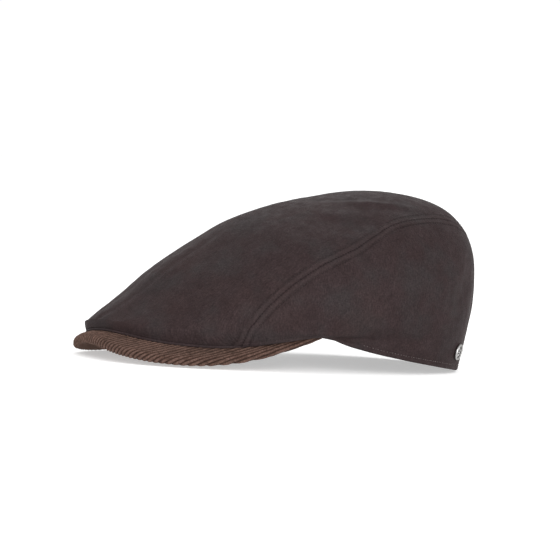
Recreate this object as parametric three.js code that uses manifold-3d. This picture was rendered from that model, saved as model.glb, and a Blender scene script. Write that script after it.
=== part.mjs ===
// A flat cap with a low nose and a high back, on a corduroy peak.
//
// The crown is sewn from three cloth walls: a top panel that runs from the nose over the roof
// to the back, and a left and a right side panel that meet at the centre back. The top panel's
// front edge ends in a narrow welt, which lies on the peak. The peak is a stiff crescent bent
// over the brow and covered in corduroy. A small round pin badge is riveted through the left
// side panel near the back.
//
// Millimetres, +Z up. The peak points along -Y and the wearer's left is +X. The cap rests on
// z = 0, on the two lobes of its peak and on the hem at the back.

import * as THREE from "three";
import { mergeVertices } from "three/addons/utils/BufferGeometryUtils.js";
import Module from "manifold-3d";

// Driving dimensions of the crown
const WALL = 1.8; // cloth of the crown with its bonded backing
const SEAM_GAP = 0.3; // clearance between pieces that touch
const CENTRE_Y = 38; // plan centre of the crown, which bearings are measured from
const ROOF_HEIGHT = 111.6; // outer height over the plan centre
const ROOF_SLOPE = 0.193; // rise of the roof towards the back, over the plan centre
const SIDE_CURVE = 1.7; // exponent of the curve from the lower edge out to the belly
const HEM_HEIGHT = 10; // cloth turned up inside the side panels' lower edge
const HEM_FOLD = 0.9; // what the turned-up cloth adds to the wall
const RIDGE_HEIGHT = 1.6; // pressed ridge down the middle of the nose
const RIDGE_WIDTH = 7;
const NOSE_LEAN = 4; // degrees that the nose is turned towards the wearer's right
const NOSE_LEAN_WIDTH = 40;
const HEM_RISE = 5.5; // how much higher the right side's hem is behind the temple
const HEM_RISE_BEARING = 120;
const HEM_RISE_WIDTH = 24;

// The peak: a crescent cut from a cylinder that is pitched down towards the front
const PEAK_THICKNESS = 6.3; // padded, with a rounded outer edge
const PEAK_CREST = 5.8; // extra rise of the arch over the middle of the brow
const PEAK_CREST_WIDTH = 36;
const PEAK_TIP_Y = -133;
const PEAK_END_Y = -1; // plan centre of the outer edge, level with the ends
const PEAK_HALF_WIDTH = 80;
const PEAK_SQUARENESS = 2.45; // exponent of the outer edge's superellipse
const PEAK_ARCH_RADIUS = 155;
const PEAK_PITCH = 0.25; // rise for each millimetre towards the back
const PEAK_TIP_HEIGHT = 2.6; // underside of the middle of the front edge
const PEAK_END_SWEEP = 89; // degrees round the outer edge to each end
const PEAK_CURL = 0.0009; // extra rise of the ends, for each square millimetre behind PEAK_CURL_Y
const PEAK_CURL_Y = -99;

// The head opening's front, which is the inner edge of the peak
const HEAD_CENTRE_Y = 23;
const HEAD_HALF_LENGTH = 98;
const HEAD_HALF_WIDTH = 76;

// The welt under the crown's front edge
const WELT_HEIGHT = 1.7;
const WELT_STAND_OUT = 0.6;

// The pin badge
const BADGE_BEARING = 135;
const BADGE_SHARE = 0.08; // of the crown's profile, from its lower edge
const BADGE_RADIUS = 5.5;
const BADGE_POST_RADIUS = 0.9;
const BADGE_HOLE_RADIUS = 1.3;
const BADGE_GRIP = 3.4; // post between the badge's face and its back

// Rows round the crown from the centre front (bearing 0) to the centre back (180). Each row is
// the profile at that bearing: its lower edge (reach and height), the belly where it stands out
// furthest, and the fullness of the curve from there to the roof, where 1 is a parabola and 2
// an ellipse.
const CROWN_COLUMNS = ["bearing", "reach", "height", "belly", "bellyHeight", "fullness"];
const CROWN_ROWS = [
  [0, 163, 16, 164.2, 21.6, 1.12],
  [15, 152.8, 11.5, 155, 19.6, 1.18],
  [30, 130.6, 9.2, 134.6, 22, 1.38],
  [40, 115.6, 13.6, 122.6, 26, 1.62],
  [52, 105, 18.4, 112, 31, 1.8],
  [62, 95.2, 21.5, 101, 36, 1.93],
  [76, 85.8, 16.4, 92.6, 42, 2.02],
  [90, 83.5, 11.8, 91, 47, 2.1],
  [120, 88, 5, 96.5, 56, 2.6],
  [150, 90.5, 0, 98.8, 57, 3.4],
  [180, 87, 0, 95, 57, 3.5],
];

// Share of the profile that lies under the seam between the top panel and a side panel
const SEAM_COLUMNS = ["bearing", "share"];
const SEAM_ROWS = [
  [38, 0.075],
  [44, 0.21],
  [52, 0.325],
  [64, 0.42],
  [84, 0.57],
  [99, 0.64],
  [118, 0.65],
  [136, 0.605],
  [150, 0.545],
  [180, 0.5],
];
const SEAM_START = SEAM_ROWS[0][0];

// Folds and dents: the middle of each, half its length, half its width, how far it is turned
// up from level, and how deep it goes (less than zero stands out)
const FOLD_COLUMNS = ["bearing", "share", "length", "width", "turn", "depth"];
const FOLD_ROWS = [
  [0, 0.37, 60, 26, 0, 1.6],
  [0, 0.745, 70, 25, 0, -2.2],
  [80, 0.065, 32, 5, 0, 2.6],
  [84, 0.14, 36, 9, 0, -1.6],
  [74, 0.66, 28, 13, 18, 1.8],
  [83, 0.45, 14, 4, -52, 1.2],
  [128, 0.3, 26, 10, 60, 1.5],
];

const rad = THREE.MathUtils.degToRad;
const gaussian = (x) => Math.exp(-(x ** 2));

// Value of one named column at a bearing, by a smooth curve through the rows
function tableValue(columns, rows, column, bearing) {
  const c = columns.indexOf(column);
  const last = rows.length - 1;
  const b = THREE.MathUtils.clamp(Math.abs(bearing), rows[0][0], rows[last][0]);
  let i = 0;
  while (i < last - 1 && b > rows[i + 1][0]) i += 1;
  const slope = (k) => {
    if (k <= 0 || k >= last) return 0;
    return (rows[k + 1][c] - rows[k - 1][c]) / (rows[k + 1][0] - rows[k - 1][0]);
  };
  const span = rows[i + 1][0] - rows[i][0];
  const s = (b - rows[i][0]) / span;
  const ease = 3 * s ** 2 - 2 * s ** 3;
  const from = rows[i][c] + (rows[i + 1][c] - rows[i][c]) * ease;
  return from + span * s * (1 - s) * ((1 - s) * slope(i) - s * slope(i + 1));
}

// Value of the crown's table, with the nose's lean and the right side's higher hem
function crownValue(column, bearing) {
  const leant = bearing + NOSE_LEAN * gaussian(bearing / NOSE_LEAN_WIDTH);
  const value = tableValue(CROWN_COLUMNS, CROWN_ROWS, column, leant);
  if (column !== "height") return value;
  return value + HEM_RISE * gaussian((bearing + HEM_RISE_BEARING) / HEM_RISE_WIDTH);
}

const seamShare = (bearing) => tableValue(SEAM_COLUMNS, SEAM_ROWS, "share", bearing);

// Crown without folds, at a bearing, from its lower edge (t = 0) to the plan centre (t = 1)
function smoothPoint(bearing, t) {
  const [reach, height, belly, bellyHeight, fullness] = ["reach", "height", "belly", "bellyHeight",
    "fullness"].map((column) => crownValue(column, bearing));
  const under = (bellyHeight - height) / (bellyHeight - height + belly);
  const a = rad(bearing);
  let out;
  let up;
  if (t < under) {
    const s = t / under;
    out = reach + (belly - reach) * (1 - (1 - s) ** SIDE_CURVE);
    up = height + (bellyHeight - height) * s;
  } else {
    const turn = (Math.PI / 2) * ((t - under) / (1 - under));
    out = belly * Math.cos(turn);
    up = bellyHeight + (ROOF_HEIGHT - bellyHeight) * Math.sin(turn) ** (2 / fullness);
    up -= ROOF_SLOPE * Math.cos(a) * out * Math.sin(turn) ** 2;
  }
  return new THREE.Vector3(out * Math.sin(a), CENTRE_Y - out * Math.cos(a), up);
}

// Unit normal of a surface given as a function of bearing and share
function surfaceNormal(surface, bearing, t) {
  const step = 0.004;
  const low = Math.max(t - step, 0);
  const along = surface(bearing + 0.3, t).sub(surface(bearing - 0.3, t));
  const up = surface(bearing, low + 2 * step).sub(surface(bearing, low));
  return along.cross(up).normalize();
}

const FOLDS = FOLD_ROWS.flatMap(([bearing, share, length, width, turn, depth]) => {
  return [1, -1].map((side) => {
    const middle = smoothPoint(side * bearing, share);
    const normal = surfaceNormal(smoothPoint, side * bearing, share);
    const level = new THREE.Vector3(-normal.y, normal.x, 0).normalize();
    const rise = normal.clone().cross(level);
    const along = level.clone().applyAxisAngle(normal, side * rad(turn));
    const across = rise.applyAxisAngle(normal, side * rad(turn));
    return { middle, normal, along, across, length, width, depth };
  });
});

// Outer face of the crown, with its folds and the ridge down the nose
function crownPoint(bearing, t) {
  const p = smoothPoint(bearing, t);
  if (t > 0.97) return p;
  const onNose = Math.abs(bearing) < 60;
  let push = onNose ? RIDGE_HEIGHT * gaussian(p.x / RIDGE_WIDTH) * gaussian((t - 0.25) / 0.3) : 0;
  for (const fold of FOLDS) {
    const d = p.clone().sub(fold.middle);
    const shape = gaussian(d.dot(fold.along) / fold.length)
      * gaussian(d.dot(fold.across) / fold.width) * gaussian(d.dot(fold.normal) / 40);
    push -= fold.depth * shape;
  }
  return p.addScaledVector(surfaceNormal(smoothPoint, bearing, t), push);
}

// Height of the peak's underside over the floor
function peakUnder(x, y) {
  const arch = PEAK_ARCH_RADIUS - Math.sqrt(PEAK_ARCH_RADIUS ** 2 - x ** 2);
  const crest = PEAK_CREST * gaussian(x / PEAK_CREST_WIDTH);
  const curl = PEAK_CURL * Math.max(y - PEAK_CURL_Y, 0) ** 2;
  return PEAK_TIP_HEIGHT + (y - PEAK_TIP_Y) * PEAK_PITCH + crest + curl - arch;
}

// Height of the peak's upper side at a distance inwards of its outer edge
function peakTopAt(x, y, inset) {
  const round = PEAK_THICKNESS / 2;
  const drop = round - Math.min(inset, round);
  return peakUnder(x, y) + round + Math.sqrt(round ** 2 - drop ** 2);
}

// Plan position as a share of the way from the middle of the peak's ends to its outer edge
function peakShare(x, y) {
  const [u, v] = [x / PEAK_HALF_WIDTH, (y - PEAK_END_Y) / (PEAK_END_Y - PEAK_TIP_Y)];
  const sum = Math.abs(u) ** PEAK_SQUARENESS + Math.abs(v) ** PEAK_SQUARENESS;
  return sum ** (1 / PEAK_SQUARENESS);
}

// Height of the peak's upper side at a plan position
function peakTop(x, y) {
  return peakTopAt(x, y, Math.max(1 - peakShare(x, y), 0) * Math.hypot(x, y - PEAK_END_Y));
}

// Same point on the inner face of the cloth, which is thicker where the hem is turned up
function crownInner(bearing, t) {
  if (t > 0.999) return smoothPoint(bearing, 1).add(new THREE.Vector3(0, 0, -WALL));
  const p = crownPoint(bearing, t);
  const n = surfaceNormal(crownPoint, bearing, t);
  const hem = Math.abs(bearing) > SEAM_START && p.z - crownPoint(bearing, 0).z < HEM_HEIGHT;
  const thickness = WALL + (hem ? HEM_FOLD : 0);
  if (t > 0) return p.addScaledVector(n, -thickness);
  const level = Math.hypot(n.x, n.y);
  return p.add(new THREE.Vector3(-n.x, -n.y, 0).multiplyScalar(thickness / level ** 2));
}

// Lower edge of the wall: it lies flat on the floor at the back and clears the peak in front
function seated(p, clearance) {
  p.setZ(Math.max(p.z, 0));
  const besideEnd = p.y > PEAK_END_Y - 30;
  if (besideEnd || peakShare(p.x, p.y) > 1) return p;
  return p.setZ(Math.max(p.z, peakTop(p.x, p.y) + clearance));
}

// A closed mesh from a list of vertices and polygons given as vertex numbers; a four-sided one
// is split along its shorter diagonal
function solidOf(points, polygons) {
  const position = points.flatMap((p) => [p.x, p.y, p.z]);
  const span = (a, b) => points[a].distanceTo(points[b]);
  const index = polygons.flatMap((f) => {
    const turned = f.length === 4 && span(f[1], f[3]) < span(f[0], f[2]);
    const face = turned ? [f[1], f[2], f[3], f[0]] : f;
    return face.slice(2).flatMap((v, i) => [face[0], face[i + 1], v]);
  });
  const geometry = new THREE.BufferGeometry();
  geometry.setAttribute("position", new THREE.Float32BufferAttribute(position, 3));
  geometry.setIndex(index);
  geometry.computeVertexNormals();
  return geometry;
}

// A solid from rings of points: each ring is a closed section, and they follow one another
function loftOf(sections) {
  const n = sections[0].length;
  const polygons = [];
  for (let s = 0; s + 1 < sections.length; s += 1) {
    for (let k = 0; k < n; k += 1) {
      const next = (k + 1) % n;
      polygons.push([s * n + k, (s + 1) * n + k, (s + 1) * n + next, s * n + next]);
    }
  }
  const ring = sections[0].map((_, k) => k);
  polygons.push(ring, ring.map((k) => (sections.length - 1) * n + k).reverse());
  return solidOf(sections.flat(), polygons);
}

// A point of the crown's wall, outside or inside, moved across the seam by half its gap
function wallPoint(bearing, t, inside, seamMove) {
  const point = inside ? crownInner : crownPoint;
  const p = point(bearing, t);
  const onWelt = Math.abs(bearing) < SEAM_START;
  if (t === 0) return seated(p, onWelt ? WELT_HEIGHT + 2 * SEAM_GAP : SEAM_GAP);
  if (seamMove === 0) return p;
  const along = crownPoint(bearing + 0.2, seamShare(bearing + 0.2))
    .sub(crownPoint(bearing - 0.2, seamShare(bearing - 0.2)));
  const across = surfaceNormal(crownPoint, bearing, t).cross(along).normalize();
  return p.addScaledVector(across, seamMove);
}

// Bearings from the start of the seam to the centre back, closer together where it climbs
const SIDE_COLUMNS = 28;
const sideBearings = Array.from({ length: SIDE_COLUMNS + 1 }, (_, i) => {
  return SEAM_START + (180 - SEAM_START) * (i / SIDE_COLUMNS) ** 1.4;
});
const SIDE_ROWS = 13;
const SIDE_GAP_TURN = 0.14; // degrees between the end walls of neighbouring panels

// A side panel: each section runs from the lower edge up the outside and back down the inside
function sidePanel(side) {
  const sections = sideBearings.map((b, i) => {
    const atBack = i === SIDE_COLUMNS ? SIDE_GAP_TURN * 0.75 : 0;
    const bearing = side * (b - atBack + (i === 0 ? SIDE_GAP_TURN : 0));
    const shares = Array.from({ length: SIDE_ROWS + 1 }, (_, k) => {
      return seamShare(b) * (k / SIDE_ROWS) ** 1.15;
    });
    const [outer, inner] = [false, true].map((inside) => {
      return shares.map((t, k) => wallPoint(bearing, t, inside, k === SIDE_ROWS ? -SEAM_GAP / 2 : 0));
    });
    return [...outer, ...inner.reverse()];
  });
  return loftOf(side > 0 ? sections : sections.reverse());
}

// The top panel: columns all the way round, from its lower edge or the seam up to the middle
const NOSE_COLUMNS = 14;
const TOP_ROWS = 12;

function topPanel() {
  const nose = Array.from({ length: NOSE_COLUMNS }, (_, i) => (SEAM_START * i) / NOSE_COLUMNS);
  const half = [...nose, SEAM_START - 2 * SIDE_GAP_TURN, ...sideBearings];
  const bearings = [...half.slice(1, -1).reverse().map((b) => -b), ...half];
  const lower = (b) => (Math.abs(b) < SEAM_START ? 0 : seamShare(b));
  const shift = bearings.length * TOP_ROWS;
  const skins = [false, true].map((inside) => {
    return bearings.flatMap((b) => Array.from({ length: TOP_ROWS }, (_, k) => {
      const start = lower(b);
      const t = start + (1 - start) * (k / TOP_ROWS);
      const seam = k === 0 && start > 0 ? SEAM_GAP / 2 : 0;
      return wallPoint(b, t, inside, seam);
    }));
  });
  const points = [...skins[0], ...skins[1], crownPoint(0, 1), crownInner(0, 1)];
  const polygons = [];
  bearings.forEach((_, c) => {
    const [here, next] = [c * TOP_ROWS, ((c + 1) % bearings.length) * TOP_ROWS];
    for (let k = 0; k + 1 < TOP_ROWS; k += 1) {
      const face = [here + k, next + k, next + k + 1, here + k + 1];
      polygons.push(face, face.map((v) => v + shift).reverse());
    }
    const rim = TOP_ROWS - 1;
    polygons.push([here + rim, next + rim, 2 * shift]);
    polygons.push([next + rim + shift, here + rim + shift, 2 * shift + 1]);
    polygons.push([next, here, here + shift, next + shift]);
  });
  return solidOf(points, polygons);
}

// The welt: a rounded strip between the crown's front edge and the peak
function frontWelt() {
  const columns = 36;
  const end = SEAM_START - 3 * SIDE_GAP_TURN;
  const sections = Array.from({ length: columns + 1 }, (_, i) => {
    const bearing = end * ((2 * i) / columns - 1);
    const outer = crownPoint(bearing, 0);
    const inward = crownInner(bearing, 0).sub(outer).setZ(0);
    const place = (inset, height) => {
      const p = outer.clone().addScaledVector(inward.clone().normalize(), inset);
      return p.setZ(peakTop(p.x, p.y) + SEAM_GAP + height);
    };
    const corner = WELT_HEIGHT * 0.3;
    const rows = [
      [-WELT_STAND_OUT, corner],
      [-WELT_STAND_OUT, WELT_HEIGHT - corner],
      [-WELT_STAND_OUT + corner, WELT_HEIGHT],
      [WALL, WELT_HEIGHT],
      [WALL, 0],
      [-WELT_STAND_OUT + corner, 0],
    ];
    return rows.map(([inset, height]) => place(inset, height));
  });
  return loftOf(sections);
}

// The peak: a section from the rounded outer edge to the head opening, swept round the brow
function peak() {
  const columns = 48;
  const round = PEAK_THICKNESS / 2;
  const edge = [-90, -55, -20, 20, 55, 90];
  const flats = [0.3, 0.65, 1];
  const length = PEAK_END_Y - PEAK_TIP_Y;
  const sections = Array.from({ length: columns + 1 }, (_, i) => {
    const sweep = rad(PEAK_END_SWEEP * ((2 * i) / columns - 1));
    const power = (v) => Math.sign(v) * Math.abs(v) ** (2 / PEAK_SQUARENESS);
    const x = PEAK_HALF_WIDTH * power(Math.sin(sweep));
    const y = PEAK_END_Y - length * power(Math.cos(sweep));
    const spread = (y - HEAD_CENTRE_Y) / HEAD_HALF_LENGTH;
    const reach = Math.hypot(x / HEAD_HALF_WIDTH, spread);
    const [headX, headY] = [x / reach, HEAD_CENTRE_Y + (y - HEAD_CENTRE_Y) / reach];
    const deep = Math.hypot(headX - x, headY - y);
    const place = (inset, height) => {
      const s = inset / deep;
      const [px, py] = [x + (headX - x) * s, y + (headY - y) * s];
      const z = height < round ? peakUnder(px, py) + height : peakTopAt(px, py, inset);
      return new THREE.Vector3(px, py, z);
    };
    const rim = edge.map((turn) => {
      return place(round * (1 - Math.cos(rad(turn))), round * (1 + Math.sin(rad(turn))));
    });
    const top = flats.map((f) => place(round + (deep - round) * f, PEAK_THICKNESS));
    const under = flats.map((f) => place(round + (deep - round) * f, 0)).reverse();
    return [...rim, ...top, ...under];
  });
  return loftOf(sections);
}

// The pin badge: a domed face with a raised rim, a post through the cloth and a round back
function pinBadge() {
  const profile = [
    [0, 1.3],
    [3.9, 1.15],
    [4.3, 1.7],
    [5.1, 1.7],
    [BADGE_RADIUS, 1.2],
    [BADGE_RADIUS, 0.3],
    [5.1, 0],
    [BADGE_POST_RADIUS, 0],
    [BADGE_POST_RADIUS, -BADGE_GRIP],
    [4, -BADGE_GRIP],
    [4.4, -BADGE_GRIP - 0.6],
    [3.6, -BADGE_GRIP - 1.6],
    [0, -BADGE_GRIP - 1.8],
  ];
  const points = profile.map(([r, z]) => new THREE.Vector2(r, z)).reverse();
  const geometry = new THREE.LatheGeometry(points, 24);
  geometry.rotateX(Math.PI / 2);
  return geometry;
}

const badgeNormal = surfaceNormal(crownPoint, BADGE_BEARING, BADGE_SHARE);
const badgeSeat = crownPoint(BADGE_BEARING, BADGE_SHARE).addScaledVector(badgeNormal, SEAM_GAP + 0.15);
const badgeFrame = new THREE.Matrix4().compose(
  badgeSeat,
  new THREE.Quaternion().setFromUnitVectors(new THREE.Vector3(0, 0, 1), badgeNormal),
  new THREE.Vector3(1, 1, 1),
);

const wasm = await Module();
wasm.setup();

function toManifold(geometry) {
  const plain = geometry.clone();
  plain.deleteAttribute("normal");
  plain.deleteAttribute("uv");
  const welded = mergeVertices(plain, 1e-4);
  return new wasm.Manifold(new wasm.Mesh({
    numProp: 3,
    vertProperties: new Float32Array(welded.attributes.position.array),
    triVerts: new Uint32Array(welded.index.array),
  }));
}

function fromManifold(body) {
  const mesh = body.getMesh();
  const geometry = new THREE.BufferGeometry();
  geometry.setAttribute("position", new THREE.BufferAttribute(mesh.vertProperties, 3));
  geometry.setIndex(Array.from(mesh.triVerts));
  geometry.computeVertexNormals();
  return geometry;
}

// Left side panel with the hole for the badge's post
function piercedPanel() {
  const drill = new THREE.CylinderGeometry(BADGE_HOLE_RADIUS, BADGE_HOLE_RADIUS, 20, 12);
  drill.rotateX(Math.PI / 2).applyMatrix4(badgeFrame);
  return fromManifold(toManifold(sidePanel(1)).subtract(toManifold(drill)));
}

const waxedCotton = new THREE.MeshStandardMaterial({ color: 0x3f3536, roughness: 0.8 });
const corduroy = new THREE.MeshStandardMaterial({ color: 0x534039, roughness: 0.95 });
const steel = new THREE.MeshStandardMaterial({ color: 0xb8b8ba, roughness: 0.3, metalness: 1 });

const group = new THREE.Group();

function addPiece(name, geometry, material) {
  const mesh = new THREE.Mesh(geometry, material);
  mesh.name = name;
  group.add(mesh);
}

addPiece("top_panel", topPanel(), waxedCotton);
addPiece("side_panel_left", piercedPanel(), waxedCotton);
addPiece("side_panel_right", sidePanel(-1), waxedCotton);
addPiece("front_welt", frontWelt(), waxedCotton);
addPiece("peak", peak(), corduroy);
addPiece("pin_badge", fromManifold(toManifold(pinBadge().applyMatrix4(badgeFrame))), steel);

export default group;
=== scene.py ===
"""A waxed-cotton flat cap on a corduroy peak, sewn from its own pattern pieces.

Lengths are written in millimetres and turned to metres where a mesh is made. Places on the
crown are given by a bearing round the head (0 at the centre front, 180 at the centre back,
positive on the wearer's left) and a share of the way from the lower edge to the crown's middle.
"""
import math

import bmesh
import bpy
import numpy as np
from mathutils import Matrix, Vector, kdtree, noise


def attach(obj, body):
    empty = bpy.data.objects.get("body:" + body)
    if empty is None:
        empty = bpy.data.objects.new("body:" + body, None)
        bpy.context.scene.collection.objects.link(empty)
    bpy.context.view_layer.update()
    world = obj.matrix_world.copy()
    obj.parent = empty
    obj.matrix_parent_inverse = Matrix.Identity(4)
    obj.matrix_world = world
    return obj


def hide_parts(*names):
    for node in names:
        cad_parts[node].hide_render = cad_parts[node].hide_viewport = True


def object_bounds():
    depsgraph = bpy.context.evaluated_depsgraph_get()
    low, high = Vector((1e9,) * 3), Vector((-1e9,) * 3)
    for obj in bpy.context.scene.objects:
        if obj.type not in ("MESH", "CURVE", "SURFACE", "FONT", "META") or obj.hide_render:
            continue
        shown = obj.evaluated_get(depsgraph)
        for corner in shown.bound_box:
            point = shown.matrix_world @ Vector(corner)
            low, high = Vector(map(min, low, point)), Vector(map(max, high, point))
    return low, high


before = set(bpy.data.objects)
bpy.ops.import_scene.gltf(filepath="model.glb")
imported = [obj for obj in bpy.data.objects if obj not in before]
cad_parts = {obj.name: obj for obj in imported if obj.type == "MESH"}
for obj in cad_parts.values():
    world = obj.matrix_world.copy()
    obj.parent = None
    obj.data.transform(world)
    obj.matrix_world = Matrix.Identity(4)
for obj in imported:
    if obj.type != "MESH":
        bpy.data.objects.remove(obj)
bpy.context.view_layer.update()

# ---------------------------------------------------------------------------- the peak
# A stiff crescent, padded over the brow and bent round the head, covered in brown needlecord.
# The ribs run from front to back and wrap over the rounded outer edge, where the cord is
# seamed to a smoother twill facing that covers the underside.
PEAK_EDGE = 6.3
PEAK_CREST, PEAK_CREST_WIDTH = 5.8, 36
PEAK_TIP_Y, PEAK_END_Y, PEAK_HALF_WIDTH = -133, -1, 80
PEAK_SQUARENESS = 2.45
PEAK_ARCH = 155
PEAK_PITCH, PEAK_TIP_HEIGHT = 0.25, 2.6
PEAK_CURL, PEAK_CURL_Y = 0.0009, -99
PEAK_END_SWEEP = 89
PEAK_LEAN, PEAK_LEAN_LENGTH = 0.03, 60  # how much the front is lifted on the wearer's left
HEAD_CENTRE_Y, HEAD_HALF_LENGTH, HEAD_HALF_WIDTH = 23, 98, 76
RIB_PITCH, RIB_HEIGHT = 2.75, 0.66


def bell(x):
    return np.exp(-np.square(x))


def ease(x):
    x = np.clip(x, 0, 1)
    return x * x * (3 - 2 * x)


def ripple(points, size, shift=0.0):
    """Smooth noise from -1 to 1 at points in millimetres, with lumps of about that size"""
    away = Vector((shift, 1.7 * shift, 0.6 * shift))
    flat = points.reshape(-1, 3) / size
    found = np.array([noise.noise(Vector(p) + away) for p in flat])
    return found.reshape(points.shape[:-1])


def peak_under(x, y):
    arch = PEAK_ARCH - np.sqrt(PEAK_ARCH**2 - x**2)
    crest = PEAK_CREST * bell(x / PEAK_CREST_WIDTH)
    curl = PEAK_CURL * np.maximum(y - PEAK_CURL_Y, 0) ** 2
    lean = PEAK_LEAN * np.maximum(x, 0) * bell((y - PEAK_TIP_Y) / PEAK_LEAN_LENGTH)
    return PEAK_TIP_HEIGHT + (y - PEAK_TIP_Y) * PEAK_PITCH + crest + curl + lean - arch


def peak_top_at(x, y, inset):
    """Height of the peak's upper side at a distance inwards of its outer edge"""
    half = PEAK_EDGE / 2
    drop = half - np.minimum(inset, half)
    return peak_under(x, y) + half + np.sqrt(half**2 - drop**2)


def peak_share(x, y):
    u, v = x / PEAK_HALF_WIDTH, (y - PEAK_END_Y) / (PEAK_END_Y - PEAK_TIP_Y)
    return (np.abs(u) ** PEAK_SQUARENESS + np.abs(v) ** PEAK_SQUARENESS) ** (1 / PEAK_SQUARENESS)


def peak_top(x, y):
    inset = np.maximum(1 - peak_share(x, y), 0) * np.hypot(x, y - PEAK_END_Y)
    return peak_top_at(x, y, inset)


def peak_outline(sweep):
    """Plan of the outer edge at degrees round it from the middle of the front"""
    turn = np.radians(sweep)
    sin, cos = [np.sign(v) * np.abs(v) ** (2 / PEAK_SQUARENESS) for v in (np.sin(turn), np.cos(turn))]
    return PEAK_HALF_WIDTH * sin, PEAK_END_Y - (PEAK_END_Y - PEAK_TIP_Y) * cos


def grid_normals(place):
    """Unit normals of a grid of points, pointing to the left of its first direction"""
    along, up = np.gradient(place, axis=0), np.gradient(place, axis=1)
    normal = np.cross(along, up)
    return normal / np.maximum(np.linalg.norm(normal, axis=-1, keepdims=True), 1e-9)


def new_grid(columns, rows):
    """A flat grid whose corners run from 0 to columns along x and 0 to rows along y"""
    bm = bmesh.new()
    bmesh.ops.create_grid(bm, x_segments=columns, y_segments=rows, size=1)
    for v in bm.verts:
        v.co.x = round((v.co.x + 1) / 2 * columns)
        v.co.y = round((v.co.y + 1) / 2 * rows)
    return bm


def flat_places(bm):
    return np.array([v.co[:2] for v in bm.verts])


def move_to(bm, place, cloth, values=()):
    """Moves a flat grid's corners to places in millimetres, with its cloth coordinates as UVs"""
    uv = bm.loops.layers.uv.new("cloth")
    layers = [(bm.verts.layers.float.new(name), value) for name, value in values]
    for i, v in enumerate(bm.verts):
        v.index = i
        v.co = place[i] / 1000
        for layer, value in layers:
            v[layer] = value[i]
    for face in bm.faces:
        face.smooth = True
        for loop in face.loops:
            loop[uv].uv = cloth[loop.vert.index] / 1000


def new_piece(name, bm, materials, slot, *nodes):
    """Makes a finished mesh a piece that rides on the cap and stands for its CAD nodes"""
    mesh = bpy.data.meshes.new(name)
    bm.to_mesh(mesh)
    bm.free()
    for material in materials:
        mesh.materials.append(material)
    piece = bpy.data.objects.new(name, mesh)
    bpy.context.scene.collection.objects.link(piece)
    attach(piece, "root")
    if nodes:
        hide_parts(*nodes)
    return piece


def new_group(name, inputs, outputs):
    """An empty shader group with its sockets and its input and output nodes"""
    group = bpy.data.node_groups.new(name, "ShaderNodeTree")
    for label, kind, value in inputs:
        socket = group.interface.new_socket(label, in_out="INPUT", socket_type=kind)
        if value is not None:
            socket.default_value = value
    for label, kind in outputs:
        group.interface.new_socket(label, in_out="OUTPUT", socket_type=kind)
    return group, group.nodes.new("NodeGroupInput"), group.nodes.new("NodeGroupOutput")


def node(tree, kind, links=(), **values):
    """A new node; links pairs its input names or numbers with sockets or plain values"""
    made = tree.nodes.new(kind)
    for key, value in values.items():
        setattr(made, key, value)
    for key, value in links:
        if isinstance(value, bpy.types.NodeSocket):
            tree.links.new(value, made.inputs[key])
        else:
            made.inputs[key].default_value = value
    return made


def ramp(tree, source, *stops):
    made = node(tree, "ShaderNodeValToRGB", [(0, source)])
    band = made.color_ramp.elements
    while len(band) < len(stops):
        band.new(0.5)
    for element, (place, value) in zip(band, stops):
        element.position = place
        element.color = (*value, 1) if hasattr(value, "__len__") else (value, value, value, 1)
    return made.outputs[0]


def maths(tree, operation, a, b=0.0):
    return node(tree, "ShaderNodeMath", [(0, a), (1, b)], operation=operation).outputs[0]


def mixed(tree, share, a, b, blend="MIX"):
    return node(tree, "ShaderNodeMix", [(0, share), (6, a), (7, b)],
                data_type="RGBA", blend_type=blend).outputs[2]


def new_material(name, **sockets):
    """A material with a Principled shader whose plain values are set on its own sockets"""
    material = bpy.data.materials.new(name)
    material.use_nodes = True
    shader = material.node_tree.nodes["Principled BSDF"]
    for key, value in sockets.items():
        shader.inputs[key.replace("_", " ")].default_value = value
    return material, material.node_tree, shader


def mottle_group():
    """Uneven colour of worn cloth: broad patches, hand-sized blotches and fine specks"""
    group, start, end = new_group(
        "mottle",
        [("Vector", "NodeSocketVector", None), ("Patch", "NodeSocketFloat", 30.0),
         ("Speck", "NodeSocketFloat", 900.0)],
        [("Patches", "NodeSocketFloat"), ("Blotches", "NodeSocketFloat"), ("Specks", "NodeSocketFloat")],
    )
    place = start.outputs["Vector"]
    finer = maths(group, "MULTIPLY", start.outputs["Patch"], 4.3)
    for label, scale, detail, rough in (("Patches", start.outputs["Patch"], 3, 0.55),
                                        ("Blotches", finer, 4, 0.6),
                                        ("Specks", start.outputs["Speck"], 3, 0.65)):
        cloud = node(group, "ShaderNodeTexNoise",
                     [("Vector", place), ("Scale", scale), ("Detail", detail), ("Roughness", rough)])
        group.links.new(cloud.outputs[0], end.inputs[label])
    return group


def weave_group():
    """Over-and-under threads of a plain cloth, as a height and a shade that differs by thread"""
    group, start, end = new_group(
        "weave",
        [("Vector", "NodeSocketVector", None), ("Threads", "NodeSocketFloat", 2500.0)],
        [("Height", "NodeSocketFloat"), ("Shade", "NodeSocketFloat")],
    )
    turned = node(group, "ShaderNodeSeparateXYZ", [(0, start.outputs["Vector"])])
    waves = []
    for axis in (0, 1):
        phase = maths(group, "MULTIPLY", turned.outputs[axis], start.outputs["Threads"])
        half = maths(group, "MULTIPLY", phase, math.pi)
        waves.append(maths(group, "SINE", half))
    crossing = maths(group, "MULTIPLY", waves[0], waves[1])
    height = maths(group, "MULTIPLY", crossing, crossing)
    group.links.new(height, end.inputs["Height"])
    stretch = node(group, "ShaderNodeMapping", [("Vector", start.outputs["Vector"]), ("Scale", (1, 0.12, 1))])
    slub = node(group, "ShaderNodeTexNoise",
                [("Vector", stretch.outputs[0]), ("Scale", start.outputs["Threads"]), ("Detail", 2)])
    group.links.new(slub.outputs[0], end.inputs["Shade"])
    return group


mottle, weave = mottle_group(), weave_group()


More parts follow.
